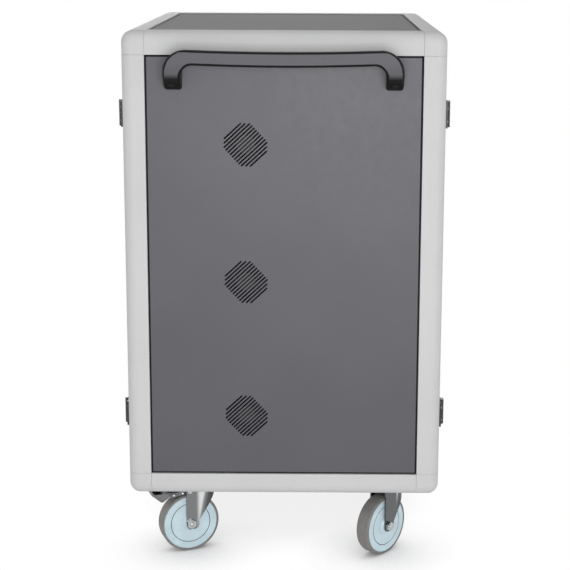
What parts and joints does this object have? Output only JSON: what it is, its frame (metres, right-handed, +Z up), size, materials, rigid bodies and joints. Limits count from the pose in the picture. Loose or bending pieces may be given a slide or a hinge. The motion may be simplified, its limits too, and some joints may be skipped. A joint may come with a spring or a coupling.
{
  "type": "charging cabinet",
  "caption": "Mobile charging cabinet for notebooks: grey panels in a round-edged light frame, push handles, fan vents, hinged doors and swivel castors with brakes.",
  "frame": {"origin": "on the floor, under the middle of the cabinet", "axes": "+Z up; +X towards the pictured end with the fan vents; -Y towards the side of the device door"},
  "size_m": [0.892, 0.6818, 1.098],
  "materials": {
    "frame_grey": "fine light grey powder coat on aluminium profiles and corner blocks",
    "panel_grey": "mid grey powder coat on sheet steel",
    "door_grey": "mid grey powder coat on sheet steel",
    "seal_black": "matt black strip in the panel joints",
    "handle_grey": "dark grey moulded plastic",
    "fan_black": "black moulded plastic",
    "power_black": "black moulded plastic",
    "switch_black": "black rocker",
    "hinge_black": "black satin coat",
    "pin_steel": "dark steel",
    "lock_black": "black moulded plastic",
    "zinc": "bright zinc plated steel",
    "fork_zinc": "bright zinc plated pressed steel",
    "wheel_blue_grey": "light blue-grey plastic",
    "tyre_grey": "grey non-marking rubber",
    "pedal_steel": "bright zinc plated steel"
  },
  "bodies": {
    "cabinet": {"posts_front": "frame_grey", "posts_rear": "frame_grey", "long_rails_top": "frame_grey", "long_rails_bottom": "frame_grey", "end_rails_top": "frame_grey", "end_rails_bottom": "frame_grey", "corner_blocks": "frame_grey", "top_panel": "panel_grey", "floor_panel": "panel_grey", "end_panel_right": "panel_grey", "end_panel_left": "panel_grey", "panel_seals": "seal_black", "bulkhead": "panel_grey", "shelf_upper": "panel_grey", "shelf_middle": "panel_grey", "shelf_lower": "panel_grey", "dividers": "panel_grey", "push_handle_right": "handle_grey", "push_handle_left": "handle_grey", "fan_frames": "fan_black", "socket_strips": "power_black", "control_unit": "power_black", "mains_inlet": "power_black", "hinge_leaves_posts": "hinge_black", "hinge_pins": "pin_steel", "castor_plates": "zinc", "castor_bolts": "zinc"},
    "device_door": {"front_door": "door_grey", "hinge_leaves_front_door": "hinge_black", "lock_plate_front": "lock_black"},
    "service_door": {"rear_door": "door_grey", "hinge_leaves_rear_door": "hinge_black", "lock_plate_rear": "lock_black"},
    "device_lock": {"lock_lever_front": "lock_black", "lock_cam_front": "zinc"},
    "service_lock": {"lock_lever_rear": "lock_black", "lock_cam_rear": "zinc"},
    "fan_upper": {"fan_rotor_upper": "fan_black"},
    "fan_middle": {"fan_rotor_middle": "fan_black"},
    "fan_lower": {"fan_rotor_lower": "fan_black"},
    "power_rocker": {"power_switch": "switch_black"},
    "castor_front_right": {"castor_fork_front_right": "fork_zinc", "castor_axle_front_right": "zinc"},
    "wheel_front_right": {"wheel_core_front_right": "wheel_blue_grey", "wheel_tyre_front_right": "tyre_grey"},
    "pedal_front_right": {"brake_pedal_front_right": "pedal_steel"},
    "castor_rear_right": {"castor_fork_rear_right": "fork_zinc", "castor_axle_rear_right": "zinc"},
    "wheel_rear_right": {"wheel_core_rear_right": "wheel_blue_grey", "wheel_tyre_rear_right": "tyre_grey"},
    "castor_front_left": {"castor_fork_front_left": "fork_zinc", "castor_axle_front_left": "zinc"},
    "wheel_front_left": {"wheel_core_front_left": "wheel_blue_grey", "wheel_tyre_front_left": "tyre_grey"},
    "pedal_front_left": {"brake_pedal_front_left": "pedal_steel"},
    "castor_rear_left": {"castor_fork_rear_left": "fork_zinc", "castor_axle_rear_left": "zinc"},
    "wheel_rear_left": {"wheel_core_rear_left": "wheel_blue_grey", "wheel_tyre_rear_left": "tyre_grey"}
  },
  "joints": [
    {"name": "device_door_hinge", "type": "hinge", "parent": "cabinet", "child": "device_door", "pos_m": [0.3425, -0.3225, 0.625], "axis": [0, 0, 1], "range_deg": [0, 175]},
    {"name": "service_door_hinge", "type": "hinge", "parent": "cabinet", "child": "service_door", "pos_m": [0.3425, 0.3225, 0.625], "axis": [0, 0, -1], "range_deg": [0, 175]},
    {"name": "device_lock_turn", "type": "hinge", "parent": "device_door", "child": "device_lock", "pos_m": [-0.307, -0.3155, 0.678], "axis": [0, -1, 0], "range_deg": [0, 90]},
    {"name": "service_lock_turn", "type": "hinge", "parent": "service_door", "child": "service_lock", "pos_m": [-0.307, 0.3155, 0.678], "axis": [0, -1, 0], "range_deg": [0, 90]},
    {"name": "fan_upper_spin", "type": "hinge", "parent": "cabinet", "child": "fan_upper", "pos_m": [0.3675, -0.0755, 0.877], "axis": [1, 0, 0], "continuous": true},
    {"name": "fan_middle_spin", "type": "hinge", "parent": "cabinet", "child": "fan_middle", "pos_m": [0.3675, -0.0755, 0.601], "axis": [1, 0, 0], "continuous": true},
    {"name": "fan_lower_spin", "type": "hinge", "parent": "cabinet", "child": "fan_lower", "pos_m": [0.3675, -0.0755, 0.322], "axis": [1, 0, 0], "continuous": true},
    {"name": "power_rocker_tilt", "type": "hinge", "parent": "cabinet", "child": "power_rocker", "pos_m": [-0.285, 0.1915, 0.603], "axis": [1, 0, 0], "range_deg": [0, 12]},
    {"name": "castor_front_right_swivel", "type": "hinge", "parent": "cabinet", "child": "castor_front_right", "pos_m": [0.295, -0.176, 0.142], "axis": [0, 0, 1], "continuous": true},
    {"name": "wheel_front_right_roll", "type": "hinge", "parent": "castor_front_right", "child": "wheel_front_right", "pos_m": [0.30575, -0.20401, 0.0625], "axis": [0.9336, 0.3584, 0], "continuous": true},
    {"name": "pedal_front_right_press", "type": "hinge", "parent": "castor_front_right", "child": "pedal_front_right", "pos_m": [0.30647, -0.20587, 0.1335], "axis": [0.9336, 0.3584, 0], "range_deg": [0, 8]},
    {"name": "castor_rear_right_swivel", "type": "hinge", "parent": "cabinet", "child": "castor_rear_right", "pos_m": [0.295, 0.223, 0.142], "axis": [0, 0, 1], "continuous": true},
    {"name": "wheel_rear_right_roll", "type": "hinge", "parent": "castor_rear_right", "child": "wheel_rear_right", "pos_m": [0.31747, 0.20312, 0.0625], "axis": [0.6626, 0.749, 0], "continuous": true},
    {"name": "castor_front_left_swivel", "type": "hinge", "parent": "cabinet", "child": "castor_front_left", "pos_m": [-0.295, -0.176, 0.142], "axis": [0, 0, 1], "continuous": true},
    {"name": "wheel_front_left_roll", "type": "hinge", "parent": "castor_front_left", "child": "wheel_front_left", "pos_m": [-0.28, -0.20198, 0.0625], "axis": [0.866, 0.5, 0], "continuous": true},
    {"name": "pedal_front_left_press", "type": "hinge", "parent": "castor_front_left", "child": "pedal_front_left", "pos_m": [-0.279, -0.20371, 0.1335], "axis": [0.866, 0.5, 0], "range_deg": [0, 8]},
    {"name": "castor_rear_left_swivel", "type": "hinge", "parent": "cabinet", "child": "castor_rear_left", "pos_m": [-0.295, 0.223, 0.142], "axis": [0, 0, 1], "continuous": true},
    {"name": "wheel_rear_left_roll", "type": "hinge", "parent": "castor_rear_left", "child": "wheel_rear_left", "pos_m": [-0.27572, 0.20002, 0.0625], "axis": [0.766, 0.6428, 0], "continuous": true}
  ]
}
